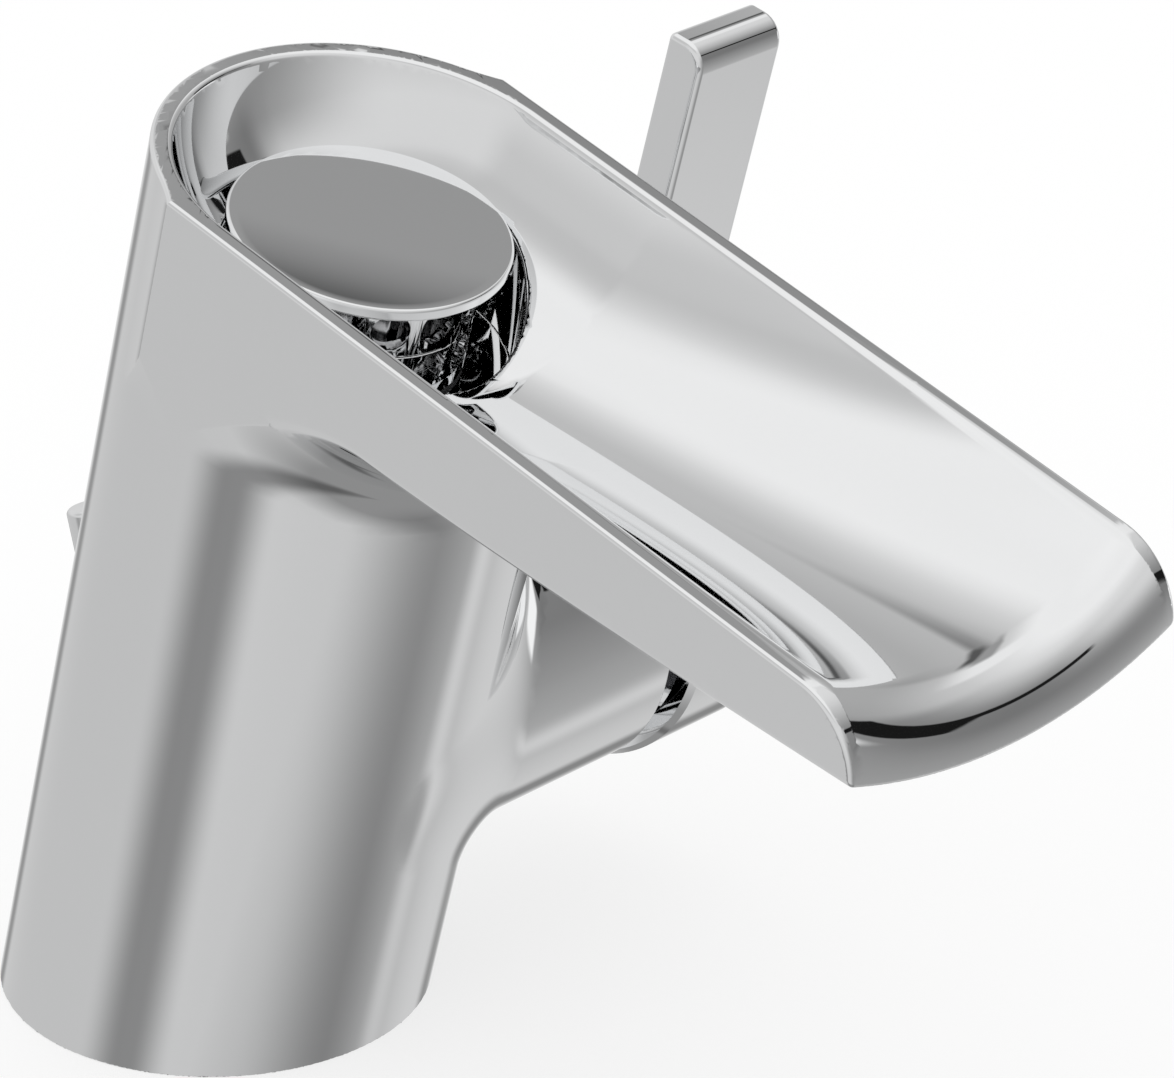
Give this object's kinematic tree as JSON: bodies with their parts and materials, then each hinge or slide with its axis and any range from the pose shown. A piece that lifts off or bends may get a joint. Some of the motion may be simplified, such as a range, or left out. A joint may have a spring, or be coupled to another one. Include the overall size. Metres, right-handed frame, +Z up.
{
  "type": "waterfall basin mixer",
  "caption": "Chrome single-hole basin mixer with a leaning round body, an open waterfall spout, a side lever and a pop-up lift rod.",
  "frame": {"origin": "centre of the body's elliptical foot in the plane of the deck, where the body axis meets the deck", "axes": "+Z straight up from the deck, -Y the way the spout points, +X the side of the lever"},
  "size_m": [0.0857, 0.1461, 0.1165],
  "materials": {
    "chrome": "polished chrome plate",
    "chrome_trim": "polished chrome plate",
    "brass": "machined brass",
    "copper": "drawn copper tube",
    "steel": "stainless steel",
    "black_steel": "blackened steel",
    "rubber": "black rubber",
    "white_plastic": "moulded white plastic",
    "blue_plastic": "moulded blue plastic",
    "ceramic": null
  },
  "bodies": {
    "mixer_body": {"body_casting": "chrome", "base_gasket": "rubber", "inlet_block": "brass", "block_clip": "steel", "cold_riser": "copper", "hot_riser": "copper", "outlet_riser": "copper", "cartridge_socket": "brass", "port_gasket": "rubber", "cartridge_base": "white_plastic", "cartridge_housing": "white_plastic", "fixed_disc": "ceramic", "clamp_nut": "brass", "neck_ring": "chrome_trim", "outlet_gasket": "rubber", "outlet_hub": "brass", "lower_ring": "chrome_trim", "upper_ring": "chrome_trim", "flow_sleeve": "steel", "cap_stud": "steel", "outlet_cap": "chrome", "rod_bush": "white_plastic"},
    "turning_core": {"rotor": "blue_plastic", "rotor_o_ring": "rubber", "pivot_pin": "steel"},
    "disc_drive": {"moving_disc": "ceramic", "disc_carrier": "blue_plastic"},
    "handle": {"stem": "steel", "handle_hub": "chrome", "lever_bar": "chrome", "lever_screw": "steel", "grub_screw": "black_steel", "screw_plug": "chrome"},
    "lift": {"lift_rod": "chrome_trim", "lift_knob": "chrome"}
  },
  "joints": [
    {"name": "handle_turn", "type": "hinge", "parent": "mixer_body", "child": "turning_core", "pos_m": [0, -0.0113, 0.03941], "axis": [1, 0, 0], "range_deg": [-50, 50]},
    {"name": "handle_tilt", "type": "hinge", "parent": "turning_core", "child": "handle", "pos_m": [0.03195, -0.0113, 0.03941], "axis": [0, 0.9613, 0.2756], "range_deg": [0, 8]},
    {"name": "disc_slide", "type": "slide", "parent": "turning_core", "child": "disc_drive", "axis": [0, -0.2756, 0.9613], "range_m": [0, 0.0016]},
    {"name": "rod_lift", "type": "slide", "parent": "mixer_body", "child": "lift", "axis": [0, 0.2504, 0.9681], "range_m": [0, 0.012]}
  ],
  "couplings": [
    {"joint": "disc_slide", "follows": "handle_tilt", "m_per_rad": 0.01}
  ]
}
